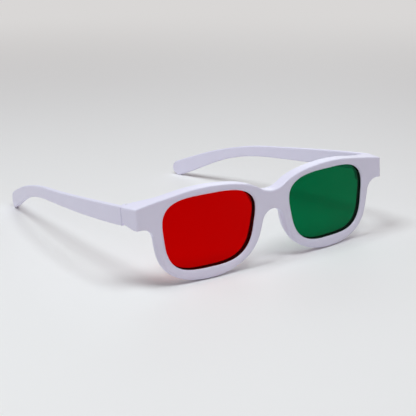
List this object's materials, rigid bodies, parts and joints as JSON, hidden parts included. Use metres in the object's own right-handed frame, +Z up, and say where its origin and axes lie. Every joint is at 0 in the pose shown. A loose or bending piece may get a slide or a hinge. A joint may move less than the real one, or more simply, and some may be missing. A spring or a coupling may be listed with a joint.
{
  "type": "vision therapy glasses",
  "caption": "Red and green vision therapy glasses: a moulded white plastic front with a saddle bridge, dyed lenses, and folding temples on pinned hinges.",
  "frame": {"origin": "on the table under the middle of the open glasses, between the face of the front and the ends of the temples", "axes": "+X to the viewer's right when the face is seen, which is the wearer's left; +Y from the face back along the temples; +Z up"},
  "size_m": [0.146, 0.1568, 0.0415],
  "materials": {
    "white_plastic": "injection moulded white polystyrene with a faint lavender tint, satin gloss",
    "red_lens": "polished sheet dyed red right through, clear faces",
    "green_lens": "polished sheet dyed green right through, clear faces",
    "pin_steel": "plain drawn wire pin"
  },
  "bodies": {
    "front": {"front_frame": "white_plastic", "lens_right": "red_lens", "lens_left": "green_lens", "hinge_pin_right": "pin_steel", "hinge_pin_left": "pin_steel"},
    "temple_right": {"temple_right": "white_plastic"},
    "temple_left": {"temple_left": "white_plastic"}
  },
  "joints": [
    {"name": "temple_right_fold", "type": "hinge", "parent": "front", "child": "temple_right", "pos_m": [-0.0682, -0.0627, 0.0326], "axis": [0, -0.1112, -0.9938], "range_deg": [0, 81]},
    {"name": "temple_left_fold", "type": "hinge", "parent": "front", "child": "temple_left", "pos_m": [0.0682, -0.0627, 0.0326], "axis": [0, 0.1112, 0.9938], "range_deg": [0, 85]}
  ]
}
